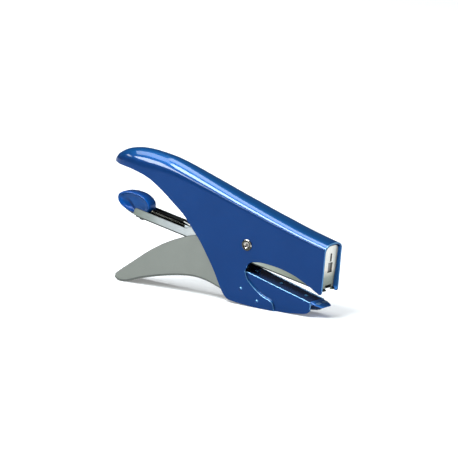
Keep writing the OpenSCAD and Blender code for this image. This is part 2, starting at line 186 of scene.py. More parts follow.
class Sheet:
    """A pressed sheet: an outer and an inner skin with the same faces, joined by a rim along every free edge."""

    def __init__(s):
        s.o, s.i, s.f, s.weak = [], [], [], {}

    def add(s, o, i):
        s.o.append(o)
        s.i.append(i)
        return len(s.o) - 1

    def face(s, *ids):
        ids = [a for k, a in enumerate(ids) if a != ids[k - 1]]
        if len(ids) > 2:
            s.f.append(tuple(ids))

    def grid(s, rows):
        for a, b in zip(rows, rows[1:]):
            for k in range(len(a) - 1):
                s.face(a[k], a[k + 1], b[k + 1], b[k])

    def make(s, name, T, weight=1.0):
        n = len(s.o)
        faces = list(s.f) + [tuple(n + k for k in reversed(f)) for f in s.f]
        count = {}
        for f in s.f:
            for a, b in zip(f, f[1:] + f[:1]):
                count.setdefault((min(a, b), max(a, b)), []).append((a, b))
        w = {}
        for key, l in count.items():
            if len(l) == 1:
                a, b = l[0]
                faces.append((b, a, n + a, n + b))
                x = weight * min(s.weak.get(a, 1.0), s.weak.get(b, 1.0))
                if x > 0.02:
                    w[key] = x
                    w[(n + key[0], n + key[1])] = x
        return finish_mesh(name, [T(p) for p in s.o + s.i], faces, w)


def refine(node, width, angle=32, segments=2, mat=None):
    """A clean copy of a CAD node with rolled edges."""
    src = NODES[node]
    bm = bmesh.new()
    bm.from_mesh(src.data)
    bmesh.ops.remove_doubles(bm, verts=bm.verts, dist=2e-6)
    bmesh.ops.dissolve_limit(bm, angle_limit=math.radians(1.2), verts=bm.verts, edges=bm.edges)
    me = bpy.data.meshes.new(node + "_fine")
    for f in bm.faces:
        f.smooth = True
    for e in bm.edges:
        e.smooth = True
    bm.to_mesh(me)
    bm.free()
    ob = bpy.data.objects.new(node + "_fine", me)
    bpy.context.scene.collection.objects.link(ob)
    bevel(ob, width, segments, "ANGLE", angle)
    return done(ob, node, MATS[mat] if mat else None)


def done(ob, node, mat=None, rides=True):
    if rides:
        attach(ob, BODY[node])
    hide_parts(node)
    ob.data.materials.clear()
    ob.data.materials.append(mat or MATS[SLOT[node]])
    if "rim" in ob:
        ob.data.materials.append(MATS[ob["rim"]])
    return ob


def tint(ob, sets):
    """the second finish, here a painted highlight or painted shade, on faces known by their corners"""
    for f in ob.data.polygons:
        if frozenset(f.vertices) in sets:
            f.material_index = 1


def tube(name, pts, r, sides=10, T=P, closed_ends=True):
    """A round wire along points in mm, as a mesh."""
    v, f = [], []
    pts = [Vector(p) for p in pts]
    t0 = (pts[1] - pts[0]).normalized()
    up = Vector((0, 1, 0)) if abs(t0.y) < 0.9 else Vector((1, 0, 0))
    a = t0.cross(up).normalized()
    n = len(pts)
    for i in range(n):
        t = (pts[min(i + 1, n - 1)] - pts[max(i - 1, 0)]).normalized()
        a = (a - t * a.dot(t)).normalized()
        b = t.cross(a)
        for k in range(sides):
            c, s = math.cos(2 * math.pi * k / sides), math.sin(2 * math.pi * k / sides)
            v.append(T(tuple(pts[i] + (a * c + b * s) * r)))
    for i in range(n - 1):
        for k in range(sides):
            q = (k + 1) % sides
            f.append((i * sides + k, i * sides + q, (i + 1) * sides + q, (i + 1) * sides + k))
    for i, d in ((0, -1), (n - 1, 1)):
        t = (pts[min(i + 1, n - 1)] - pts[max(i - 1, 0)]).normalized()
        v.append(T(tuple(pts[i] + t * d * r * 0.45)))
        for k in range(sides):
            f.append((i * sides + k, i * sides + (k + 1) % sides, len(v) - 1))
    return finish_mesh(name, v, f, sharp_deg=70)


def lathe_y(name, prof, centre, seg=64, T=P):
    """prof: (r, y) pairs turned about an axis along Y through centre (x, z)."""
    v, f = [], []
    m = len(prof)
    for k in range(seg):
        a = 2 * math.pi * k / seg
        for r, y in prof:
            v.append(T((centre[0] + r * math.cos(a), y, centre[1] + r * math.sin(a))))
    for k in range(seg):
        q = (k + 1) % seg
        for i in range(m):
            j = (i + 1) % m
            f.append((k * m + i, k * m + j, q * m + j, q * m + i))
    return v, f


# ---------------------------------------------------------------- materials
def nt(name):
    m = bpy.data.materials.new(name)
    m.use_nodes = True
    t = m.node_tree
    b = t.nodes["Principled BSDF"]
    return m, t, b


def coords(t):
    return t.nodes.new("ShaderNodeTexCoord").outputs["Object"]


def noise(t, vec, scale, detail=3.0, rough=0.5, dist=0.0):
    n = t.nodes.new("ShaderNodeTexNoise")
    n.inputs["Scale"].default_value = scale
    n.inputs["Detail"].default_value = detail
    n.inputs["Roughness"].default_value = rough
    n.inputs["Distortion"].default_value = dist
    t.links.new(vec, n.inputs["Vector"])
    return n.outputs["Fac"]


def ramp(t, fac, stops):
    r = t.nodes.new("ShaderNodeValToRGB")
    el = r.color_ramp.elements
    while len(el) < len(stops):
        el.new(0.5)
    for e, (p, c) in zip(el, stops):
        e.position = p
        e.color = c if len(c) == 4 else (*c, 1)
    t.links.new(fac, r.inputs["Fac"])
    return r.outputs["Color"]


def mapr(t, fac, lo, hi, a=0.0, b=1.0):
    m = t.nodes.new("ShaderNodeMapRange")
    m.inputs["From Min"].default_value = a
    m.inputs["From Max"].default_value = b
    m.inputs["To Min"].default_value = lo
    m.inputs["To Max"].default_value = hi
    t.links.new(fac, m.inputs["Value"])
    return m.outputs["Result"]


def bump(t, h, strength, dist, prev=None):
    b = t.nodes.new("ShaderNodeBump")
    b.inputs["Strength"].default_value = strength
    b.inputs["Distance"].default_value = dist
    t.links.new(h, b.inputs["Height"])
    if prev is not None:
        t.links.new(prev, b.inputs["Normal"])
    return b.outputs["Normal"]


def scaled(t, vec, s, rot=(0, 0, 0)):
    m = t.nodes.new("ShaderNodeMapping")
    m.inputs["Scale"].default_value = s
    m.inputs["Rotation"].default_value = rot
    t.links.new(vec, m.inputs["Vector"])
    return m.outputs["Vector"]


def edge_wear(t, lo, hi):
    g = t.nodes.new("ShaderNodeNewGeometry")
    return ramp(t, g.outputs["Pointiness"], [(lo, (0, 0, 0)), (hi, (1, 1, 1))])


def mix(t, fac, a, b):
    m = t.nodes.new("ShaderNodeMix")
    m.data_type = "RGBA"
    for v, k in ((fac, "Factor"), (a, "A"), (b, "B")):
        s = m.inputs[k] if k == "Factor" else [x for x in m.inputs if x.name == k and x.type == "RGBA"][0]
        if isinstance(v, (tuple, list)):
            s.default_value = v if len(v) == 4 else (*v, 1)
        elif isinstance(v, float):
            s.default_value = v
        else:
            t.links.new(v, s)
    return [x for x in m.outputs if x.type == "RGBA"][0]


def paint(name, base, deep, metallic=0.6, rough=0.36, coat=0.10, flake=0.35, peel=0.04, top=None, painted_top_light=None, low=None, inner=None):
    m, t, b = nt(name)
    c = coords(t)
    broad = noise(t, c, 45, 2)
    fine = noise(t, c, 5200, 1, 0.6)
    colour = ramp(t, broad, [(0.3, deep), (0.7, base)])
    spark = ramp(t, fine, [(0.42, (0.90, 0.90, 0.90)), (0.66, (1.10, 1.10, 1.10))])
    mul = t.nodes.new("ShaderNodeMix")
    mul.data_type = "RGBA"
    mul.blend_type = "MULTIPLY"
    mul.inputs["Factor"].default_value = flake
    t.links.new(colour, [x for x in mul.inputs if x.name == "A" and x.type == "RGBA"][0])
    t.links.new(spark, [x for x in mul.inputs if x.name == "B" and x.type == "RGBA"][0])
    out = [x for x in mul.outputs if x.type == "RGBA"][0]
    if painted_top_light:
        # painted light: the base colour is brightened where the sheet faces upwards
        n = t.nodes.new("ShaderNodeSeparateXYZ")
        t.links.new(t.nodes.new("ShaderNodeTexCoord").outputs["Normal"], n.inputs[0])
        sc = t.nodes.new("ShaderNodeVectorMath")
        sc.operation = "MULTIPLY"
        t.links.new(out, sc.inputs[0])
        t.links.new(ramp(t, n.outputs["Z"], [(0.3, (1, 1, 1)), (0.85, painted_top_light)]), sc.inputs[1])
        out = sc.outputs[0]
    if low:
        # painted light and shade: cut edges that face forwards or up keep the lighter colour, the others are darkened
        # towards low
        n = t.nodes.new("ShaderNodeVectorMath")
        n.operation = "DOT_PRODUCT"
        t.links.new(t.nodes.new("ShaderNodeTexCoord").outputs["Normal"], n.inputs[0])
        n.inputs[1].default_value = (0.8, 0.0, 1.0)
        out = mix(t, mapr(t, n.outputs["Value"], 0.0, 1.0, 0.12, 0.55), low, out)
    if inner:
        # painted light: the inside of the nose is lighter
        p3 = t.nodes.new("ShaderNodeSeparateXYZ")
        t.links.new(c, p3.inputs[0])
        m2 = t.nodes.new("ShaderNodeMath")
        m2.operation = "MULTIPLY"
        t.links.new(mapr(t, p3.outputs["X"], 0.0, 1.0, inner - 0.001, inner + 0.001), m2.inputs[0])
        t.links.new(ramp(t, mapr(t, p3.outputs["Y"], 0.0, 1.0, 0.0080, 0.0094), [(0.0, (0, 0, 0)), (0.1, (1, 1, 1)), (0.7, (1, 1, 1)), (0.8, (0, 0, 0))]), m2.inputs[1])
        n3 = t.nodes.new("ShaderNodeSeparateXYZ")
        t.links.new(t.nodes.new("ShaderNodeTexCoord").outputs["Normal"], n3.inputs[0])
        m4 = t.nodes.new("ShaderNodeMath")
        m4.operation = "MULTIPLY"
        t.links.new(m2.outputs[0], m4.inputs[0])
        t.links.new(mapr(t, n3.outputs["Y"], 1.0, 0.0, -0.7, -0.5), m4.inputs[1])
        out = mix(t, m4.outputs[0], out, (0.05, 0.24, 0.68))
    t.links.new(out, b.inputs["Base Color"])
    b.inputs["Metallic"].default_value = metallic
    t.links.new(mapr(t, noise(t, c, 160, 3), rough - 0.03, rough + 0.04), b.inputs["Roughness"])
    if top is None:
        b.inputs["Coat Weight"].default_value = coat
    else:
        up = t.nodes.new("ShaderNodeSeparateXYZ")
        t.links.new(t.nodes.new("ShaderNodeTexCoord").outputs["Normal"], up.inputs[0])
        t.links.new(mapr(t, up.outputs["Z"], coat, top, 0.12, 0.21), b.inputs["Coat Weight"])
    b.inputs["Coat Roughness"].default_value = 0.05
    b.inputs["Coat IOR"].default_value = 1.5
    b.inputs["Specular IOR Level"].default_value = 0.1
    skin = bump(t, noise(t, c, 620, 2), peel, 0.00004)
    t.links.new(bump(t, fine, 0.03, 0.00001, skin), b.inputs["Normal"])
    t.links.new(skin, b.inputs["Coat Normal"])
    return m


def satin(name, base, dark, rough=0.5, metallic=0.15, grain=0.1):
    m, t, b = nt(name)
    c = coords(t)
    colour = ramp(t, noise(t, c, 60, 4, 0.6), [(0.25, dark), (0.75, base)])
    speck = ramp(t, noise(t, c, 2600, 2), [(0.35, (0.93, 0.93, 0.93)), (0.65, (1.05, 1.05, 1.05))])
    mul = t.nodes.new("ShaderNodeMix")
    mul.data_type = "RGBA"
    mul.blend_type = "MULTIPLY"
    mul.inputs["Factor"].default_value = 0.6
    t.links.new(colour, [x for x in mul.inputs if x.name == "A" and x.type == "RGBA"][0])
    t.links.new(speck, [x for x in mul.inputs if x.name == "B" and x.type == "RGBA"][0])
    t.links.new([x for x in mul.outputs if x.type == "RGBA"][0], b.inputs["Base Color"])
    b.inputs["Metallic"].default_value = metallic
    t.links.new(mapr(t, noise(t, c, 220, 3), rough - 0.05, rough + 0.06), b.inputs["Roughness"])
    t.links.new(bump(t, noise(t, c, 1500, 2), grain, 0.00004), b.inputs["Normal"])
    return m


def metal(name, base, dark, rough=0.25, brush=(1, 1, 40), scale=300, strength=0.15, metallic=1.0, tone=0.5, rot=(0, 0, 0)):
    m, t, b = nt(name)
    c = coords(t)
    lines = noise(t, scaled(t, c, brush, rot), scale, 4, 0.65)
    cloud = noise(t, c, 90, 3)
    m1 = t.nodes.new("ShaderNodeMath")
    m1.operation = "ADD"
    t.links.new(mapr(t, lines, 0.0, tone), m1.inputs[0])
    t.links.new(mapr(t, cloud, 0.0, 1.0 - tone), m1.inputs[1])
    t.links.new(ramp(t, m1.outputs["Value"], [(0.3, dark), (0.62, base)]), b.inputs["Base Color"])
    b.inputs["Metallic"].default_value = metallic
    t.links.new(mapr(t, lines, rough - 0.07, rough + 0.09), b.inputs["Roughness"])
    t.links.new(bump(t, lines, strength, 0.00005), b.inputs["Normal"])
    return m


MATS = {
    # shell_blue carries painted light on faces turned up and inside the nose; the rims' lighter blue is a painted
    # highlight, with painted shade where rims face away
    "shell_blue": paint("shell_blue", (0.0014, 0.0295, 0.128), (0.0010, 0.0265, 0.117), metallic=0.5, top=1.0, painted_top_light=(0.7, 2.45, 1.9), inner=(PX + 0.055)),
    "shell_edge": paint("shell_edge", (0.115, 0.290, 0.530), (0.095, 0.260, 0.490), metallic=0.4, rough=0.25, top=0.9, painted_top_light=(1.9, 1.7, 1.45), low=(0.002, 0.032, 0.135)),
    "jaw_navy": paint("jaw_navy", (0.020, 0.052, 0.150), (0.017, 0.045, 0.132), metallic=0.3, rough=0.2, coat=0.4),
    "jaw_light": paint("jaw_light", (0.090, 0.290, 0.520), (0.075, 0.260, 0.480), metallic=0.4, rough=0.2, coat=0.5),
    "lever_gray": satin("lever_gray", (0.164, 0.174, 0.154), (0.146, 0.156, 0.138), rough=0.46, metallic=0.2),
    "nickel": metal("nickel", (0.62, 0.58, 0.52), (0.46, 0.43, 0.38), rough=0.13, brush=(1, 1, 1), scale=500, strength=0.06),
    "zinc": metal("zinc", (0.44, 0.47, 0.48), (0.30, 0.33, 0.335), rough=0.32, brush=(6, 40, 40), scale=60, strength=0.12, rot=(0, math.radians(-10), 0)),
    "bright_sheet": metal("bright_sheet", (0.70, 0.69, 0.65), (0.54, 0.53, 0.49), rough=0.22, brush=(40, 40, 3), scale=60, strength=0.10),
    "blade_steel": metal("blade_steel", (0.20, 0.20, 0.20), (0.12, 0.12, 0.12), rough=0.3, brush=(30, 30, 2), scale=80, strength=0.2),
    "spring_steel": metal("spring_steel", (0.085, 0.082, 0.070), (0.040, 0.040, 0.035), rough=0.2, brush=(1, 1, 1), scale=900, strength=0.1),
    "black_plastic": satin("black_plastic", (0.010, 0.010, 0.011), (0.006, 0.006, 0.006), rough=0.38, metallic=0.0, grain=0.25),
}
MATS["black_plastic"].node_tree.nodes["Principled BSDF"].inputs["Specular IOR Level"].default_value = 0.12


def graded(src, name, axis, lo, hi, stops):
    """a copy of a finish whose colour also runs along one axis of the part, as painted light and shade"""
    m = MATS[src].copy()
    m.name = name
    t = m.node_tree
    b = t.nodes["Principled BSDF"]
    sep = t.nodes.new("ShaderNodeSeparateXYZ")
    t.links.new(coords(t), sep.inputs[0])
    run = ramp(t, mapr(t, sep.outputs[axis], 0, 1, lo, hi), stops)
    mul = t.nodes.new("ShaderNodeMix")
    mul.data_type = "RGBA"
    mul.blend_type = "MULTIPLY"
    mul.inputs["Factor"].default_value = 1.0
    old = b.inputs["Base Color"].links[0].from_socket
    t.links.new(old, [x for x in mul.inputs if x.name == "A" and x.type == "RGBA"][0])
    t.links.new(run, [x for x in mul.inputs if x.name == "B" and x.type == "RGBA"][0])
    t.links.new([x for x in mul.outputs if x.type == "RGBA"][0], b.inputs["Base Color"])
    return m


# painted light and shade: the rail is darker at both ends and lightest in the middle
MATS["zinc_rail_painted_light"] = graded("zinc", "zinc_rail_painted_light", "X", -0.067, 0.073, [
    (0.0, (0.38, 0.40, 0.34)), (0.10, (0.55, 0.56, 0.52)), (0.24, (0.92, 0.90, 0.90)), (0.62, (0.95, 0.93, 0.84)),
    (0.78, (0.60, 0.60, 0.50)), (1.0, (0.34, 0.35, 0.26))])


def painted_foot_shade(m, angle, v0, v1, shade):
    """painted shade: darkens a band along the foot of a tilted channel"""
    t = m.node_tree
    b = t.nodes["Principled BSDF"]
    dot = t.nodes.new("ShaderNodeVectorMath")
    dot.operation = "DOT_PRODUCT"
    t.links.new(coords(t), dot.inputs[0])
    sn, cs = math.sin(math.radians(angle)), math.cos(math.radians(angle))
    dot.inputs[1].default_value = (sn, 0.0, cs)
    base = PX * sn + PZ * cs
    old = b.inputs["Base Color"].links[0].from_socket
    t.links.new(mix(t, mapr(t, dot.outputs["Value"], 0.0, 1.0, base + v0 * MM, base + v1 * MM), shade, old), b.inputs["Base Color"])


painted_foot_shade(MATS["zinc_rail_painted_light"], 10, -11.2, -11.05, (0.045, 0.046, 0.040))
# painted light and shade on the front plate: darker towards the bottom, a warm lighter band part way up as painted
# highlight, and darker towards the far side
MATS["plate_painted_shade_z"] = graded("bright_sheet", "plate_painted_shade_z", "Z", 0.022, 0.048, [
    (0.0, (0.22, 0.25, 0.23)), (0.20, (0.34, 0.38, 0.36)), (0.36, (0.72, 0.70, 0.66)), (0.42, (0.92, 0.84, 0.80)), (0.50, (0.82, 0.82, 0.80)), (1.0, (0.98, 0.98, 0.98))])
MATS["plate_painted_shade"] = graded("plate_painted_shade_z", "plate_painted_shade", "Y", -0.006, 0.006, [(0.0, (1, 1, 1)), (0.62, (0.94, 0.94, 0.94)), (0.86, (0.66, 0.67, 0.66)), (0.95, (0.34, 0.35, 0.35)), (1.0, (0.26, 0.27, 0.27))])
# painted shade for the lever's rolled edges and rims
MATS["lever_edge"] = satin("lever_edge", (0.070, 0.078, 0.068), (0.058, 0.064, 0.056), rough=0.45, metallic=0.2)
# painted shade for the rail's rolled edges and rims
MATS["rail_edge"] = metal("rail_edge", (0.045, 0.048, 0.045), (0.028, 0.03, 0.028), rough=0.35, brush=(1, 1, 1), scale=500, strength=0.05)


KNOB_SIDE = (1.0, 0.05)


def knob_material():
    m, t, b = nt("knob_blue")
    c = coords(t)
    t.links.new(ramp(t, noise(t, c, 70, 3), [(0.3, (0.0018, 0.038, 0.150)), (0.7, (0.0022, 0.044, 0.172))]), b.inputs["Base Color"])
    t.links.new(mapr(t, noise(t, c, 420, 3), 0.20, 0.30), b.inputs["Roughness"])
    b.inputs["Metallic"].default_value = 0.1
    b.inputs["Specular IOR Level"].default_value = 0.14
    up = t.nodes.new("ShaderNodeSeparateXYZ")
    t.links.new(t.nodes.new("ShaderNodeTexCoord").outputs["Normal"], up.inputs[0])
    gloss = mapr(t, up.outputs["Z"], 0.03, 0.9, 0.05, 0.25)
    b.inputs["Coat Roughness"].default_value = 0.08
    # painted shade: the fold's bottom is darkest and the face past it is darker, fading in along the fold from its top
    # end
    sep = t.nodes.new("ShaderNodeSeparateXYZ")
    t.links.new(c, sep.inputs[0])
    a0, a1 = MAG((-103.2, 0, -2.6)), MAG((-94.6, 0, -9.2))
    dx, dz = a1[0] - a0[0], a1[2] - a0[2]
    ln = math.hypot(dx, dz)
    k1 = t.nodes.new("ShaderNodeMath")
    k1.operation = "MULTIPLY_ADD"
    t.links.new(sep.outputs["X"], k1.inputs[0])
    k1.inputs[1].default_value = dz / ln
    k1.inputs[2].default_value = -(a0[0] * dz - a0[2] * dx) / ln
    k2 = t.nodes.new("ShaderNodeMath")
    k2.operation = "MULTIPLY_ADD"
    t.links.new(sep.outputs["Z"], k2.inputs[0])
    k2.inputs[1].default_value = -dx / ln
    t.links.new(k1.outputs[0], k2.inputs[2])
    shade = ramp(t, mapr(t, k2.outputs[0], 0, 1, -0.004, 0.004), [
        (0.0, (1, 1, 1)), (0.34, (1, 1, 1)), (0.47, (0.52, 0.54, 0.58)), (0.54, (0.36, 0.37, 0.41)), (0.64, (0.46, 0.48, 0.52)), (0.84, (0.64, 0.66, 0.70)), (1.0, (0.64, 0.66, 0.70))])
    k3 = t.nodes.new("ShaderNodeMath")
    k3.operation = "MULTIPLY_ADD"
    t.links.new(sep.outputs["X"], k3.inputs[0])
    k3.inputs[1].default_value = dx / ln
    k3.inputs[2].default_value = -(a0[0] * dx + a0[2] * dz) / ln
    k4 = t.nodes.new("ShaderNodeMath")
    k4.operation = "MULTIPLY_ADD"
    t.links.new(sep.outputs["Z"], k4.inputs[0])
    k4.inputs[1].default_value = dz / ln
    t.links.new(k3.outputs[0], k4.inputs[2])
    shade = mix(t, mapr(t, k4.outputs[0], 0.0, 1.0, 0.0004, 0.0052), (1.0, 1.0, 1.0), shade)
    # painted light: faces that turn forwards or up are brightened
    painted_facing_light = t.nodes.new("ShaderNodeVectorMath")
    painted_facing_light.operation = "MULTIPLY"
    t.links.new(shade, painted_facing_light.inputs[0])
    wall = t.nodes.new("ShaderNodeVectorMath")
    wall.operation = "DOT_PRODUCT"
    t.links.new(t.nodes.new("ShaderNodeTexCoord").outputs["Normal"], wall.inputs[0])
    wall.inputs[1].default_value = (0.8, 0.0, 1.0)
    t.links.new(ramp(t, wall.outputs["Value"], [(0.15, (1, 1, 1)), (0.6, (1.7, 1.8, 2.0))]), painted_facing_light.inputs[1])
    shade = painted_facing_light.outputs[0]
    part = t.nodes.new("ShaderNodeMath")
    part.operation = "MULTIPLY"
    t.links.new(gloss, part.inputs[0])
    t.links.new(mapr(t, k2.outputs[0], KNOB_SIDE[0], KNOB_SIDE[1], -0.0002, 0.0002), part.inputs[1])
    t.links.new(part.outputs[0], b.inputs["Coat Weight"])
    old = b.inputs["Base Color"].links[0].from_socket
    mul = t.nodes.new("ShaderNodeMix")
    mul.data_type = "RGBA"
    mul.blend_type = "MULTIPLY"
    mul.inputs["Factor"].default_value = 1.0
    t.links.new(old, [x for x in mul.inputs if x.name == "A" and x.type == "RGBA"][0])
    t.links.new(shade, [x for x in mul.inputs if x.name == "B" and x.type == "RGBA"][0])
    t.links.new([x for x in mul.outputs if x.type == "RGBA"][0], b.inputs["Base Color"])
    t.links.new(bump(t, noise(t, c, 900, 2), 0.06, 0.00004), b.inputs["Normal"])
    return m


MATS["knob_blue"] = knob_material()
# darker copies of the nickel: painted shade and painted dark reflection for the rivet's dish and ring
MATS["rivet_dish_painted_shade"] = metal("rivet_dish_painted_shade", (0.11, 0.10, 0.097), (0.075, 0.07, 0.067), rough=0.2, brush=(1, 1, 1), scale=500, strength=0.05)
MATS["rivet_painted_shade"] = metal("rivet_painted_shade", (0.055, 0.055, 0.045), (0.035, 0.035, 0.03), rough=0.12, brush=(1, 1, 1), scale=500, strength=0.05)

# ---------------------------------------------------------------- the shell
CREST = spl([(-112, 38), (-111.2, 40), (-109.5, 42.3), (-107, 44.2), (-103, 46.4),
             (-98, 48), (-92, 49), (-85, 49.2), (-78, 48.7), (-66, 47), (-54, 43.9),
             (-41, 39.8), (-28, 35.6), (-15, 31.4), (-2, 27.4), (11, 23.4),
             (24, 19.6), (36.5, 16), (50, 12.6), (62.2, 9.7)], 6)
TAIL = spl([(-112.5, 37.5), (-108, 37.1), (-105, 36.7), (-99, 36.3), (-93, 35.6),
            (-84, 33.4), (-76.5, 30), (-67, 23.9), (-59.5, 18.2), (-51.5, 12)], 6)
STEP = spl([(0.2, -15.2), (-1, -17.4), (-0.8, -20.4), (1.6, -24.4), (7.8, -29.5),
            (14, -33), (18.6, -34.6), (21.3, -36.8), (22.2, -41)], 5)
HALF, SHEET_T, CHEEK = 9.8, 1.2, 8.3
SLOPE = 0.249


def drop0(x):
    return lookup(x, [(-112, 13), (-78, 13), (-54, 10.5), (-28, 8), (-2, 6.5), (30, 5.4), (63, 5)])


def square(x):
    return lookup(x, [(-112, 2), (-78, 2.1), (-28, 2.4), (30, 2.5), (63, 2.5)])


def plan(x, w):
    return w if x > -85 else w * math.sqrt(max(0.0009, 1 - ((-85 - x) / 27.05) ** 2))


def lean(x, z):
    return x + ((z - 6) * 2.7 / 30.1 * (x - 46) / 16.2 if x > 46 else 0)


X_SIDE = -72.0
ROOF_HALF = 26
EXTRA = 8


def station(x0, zc0, g):
    """one cross-section of the roof, near lower edge to far lower edge, inset by g"""
    low = lookup(x0, TAIL)
    x = x0 + (g * ((-100 - x0) / 12) ** 2 if x0 < -100 else 0)
    w = max(0.25, plan(x0, HALF) - g)
    zc = zc0 - g
    room = max(0.3, zc - low) if x0 < -51.5 else 40
    dr = min(drop0(x0), room * 0.88)
    n = square(x0)
    raw = []
    for k in range(241):
        a = math.pi / 2 * k / 240
        raw.append((w * math.cos(a) ** (2 / n), zc - dr + dr * math.sin(a) ** (2 / n)))
    arc = resample(raw, ROOF_HALF)
    zs = zc - dr
    side = []
    if x0 <= X_SIDE + 1e-6:
        full = max(0.0, zs - low)
        first = min(1.1, full * 0.4)
        for k in range(EXTRA, 0, -1):
            side.append((w, zs - first - (full - first) * ((k - 1) / (EXTRA - 1)) ** 1.3))
    else:
        side.append((w, zs - 1.1))
    near = [(lean(x, z), -y, z) for y, z in side + arc]
    far = [(lean(x, z), y, z) for y, z in reversed(side + arc[:-1])]
    return near + far


def build_shell():
    S = Sheet()
    xs = [c[0] for c in CREST]
    # a station exactly where the flat panels begin
    k0 = min(range(len(xs)), key=lambda i: abs(xs[i] - X_SIDE))
    crest = list(CREST)
    crest[k0] = (X_SIDE, lookup(X_SIDE, CREST))
    # thin the crowded stations at the tail's tip
    keep = [i for i in range(len(crest)) if crest[i][0] > -109 or i % 2 == 0]
    crest = [crest[i] for i in keep]
    rows = []
    for x0, zc in crest:
        o, i = station(x0, zc, 0), station(x0, zc, SHEET_T)
        ids = [S.add(a, b) for a, b in zip(o, i)]
        low = lookup(x0, TAIL)
        room = zc - low
        if x0 <= X_SIDE:
            h = abs(o[1][2] - o[0][2])
            for e in (ids[0], ids[-1]):
                S.weak[e] = max(0.0, min(1.0, h / 0.85))
        rows.append(ids)
    long = [r for r, c in zip(rows, crest) if c[0] <= X_SIDE + 1e-6]
    short = [r for r, c in zip(rows, crest) if c[0] > X_SIDE + 1e-6]
    S.grid(long)
    last = long[-1]
    cut = EXTRA - 1
    S.grid([last[cut:len(last) - cut]] + short)
    tip = rows[0]
    S.face(*tip)
    # flat panels
    light = set()
    for side in (-1, 1):
        def sp(p, y=HALF):
            return S.add((p[0], side * y, p[1]), (p[0], side * (y - SHEET_T), p[1]))

        def col(r):
            return r[0] if side < 0 else r[-1]
        up = [last[k] if side < 0 else last[-1 - k] for k in range(0, cut + 1)]
        top = [col(r) for r in short]
        f0 = top[-1]
        f0 = (S.o[f0][0], S.o[f0][2])
        front = [lerp(f0, (60.3, -22.4), k / 6) for k in range(1, 7)]
        corner = spl([(60.3, -22.4), (59.95, -23.4), (59.0, -24.15), (57.9, -24.15)], 4)[1:]
        head_low = list(reversed(spl([(4, -11.1), (10.7, -10.2), (19.3, -10.7), (28.4, -12), (37.7, -14.5),
                                      (43, -16.7), (48.8, -19.3), (52, -21), (57, -23.8)], 4)))
        throat = spl([(4, -11.1), (2.2, -12), (1, -13.2), (0.35, -14.4), STEP[0]], 4)[1:-1]
        line = lambda x: -18.6 - SLOPE * (x - 1.1)
        k1 = next(k for k, q in enumerate(STEP) if q[1] < line(q[0]) - 0.2)
        free = STEP[:k1]
        ramp_pts = STEP[k1:]
        nn = [(-n[0], -n[1]) if n[0] < 0 else n for n in normals2(ramp_pts)]
        nn[0] = (1.0, 0.0)
        nn[-1] = (1.0, 0.0)
        prof = [(0.0, 0.0), (0.22, 0.10), (0.45, 0.40), (0.72, 1.10), (0.92, 1.38), (1.15, 1.5)]
        srows = []
        for d, dy in prof:
            row = []
            for j, (q, n) in enumerate(zip(ramp_pts, nn)):
                p = (q[0] + n[0] * d, q[1] + n[1] * d)
                if j == 0:
                    p = (p[0], line(p[0]))
                if j == len(ramp_pts) - 1:
                    p = (p[0], -41.0)
                p = (p[0], max(-41.0, p[1]))
                row.append(sp(p, HALF - dy))
            srows.append(row)
        low_rear = [(18, -41), (12, -41)] + spl([(6, -40.9), (-1.6, -40.4), (-9, -39.7), (-13.6, -39), (-15.9, -37.8),
                                                 (-18.5, -35), (-22, -29), (-26, -21.3), (-31.5, -12.6), (-38, -3.2),
                                                 (-44.9, 4.6), (-51.5, 12), (-59.5, 18.2), (-67, 23.9)], 5)
        low_rear = [q for q in low_rear if q[0] > -71]
        ids = up + top
        ids += [sp(q) for q in front + corner + head_low + throat + free]
        ids += srows[0]
        ids += [sp(q) for q in low_rear]
        S.face(*(ids if side < 0 else list(reversed(ids))))
        for n_row, (a, b) in enumerate(zip(srows, srows[1:])):
            for k in range(len(a) - 1):
                f = (a[k], b[k], b[k + 1], a[k + 1])
                S.face(*(f if side < 0 else reversed(f)))
                # painted highlight: one row of the step's slope takes the rims' lighter blue
                if n_row == 1:
                    light.add(frozenset(f))
        inner = srows[-1]
        bottom = list(reversed(spl([(50.3, -30.85), (50.6, -32.2), (50.4, -34.6), (50, -36.4), (48.6, -38.2), (46, -39.2),
                                    (42, -39.8), (35, -40.6), (27, -41)], 5)))
        topline = [(x, line(x)) for x in (44, 36, 28, 20, 12, 5)]
        cheek = list(inner) + [sp(q, CHEEK) for q in bottom + topline]
        S.face(*(cheek if side < 0 else list(reversed(cheek))))
    ob = S.make("body_shell_panel", P)
    # the rolled rims take a lighter blue as painted highlight
    bevel(ob, 0.5, 4, rim="shell_edge")
    done(ob, "body_shell")
    tint(ob, light)
    return ob


build_shell()


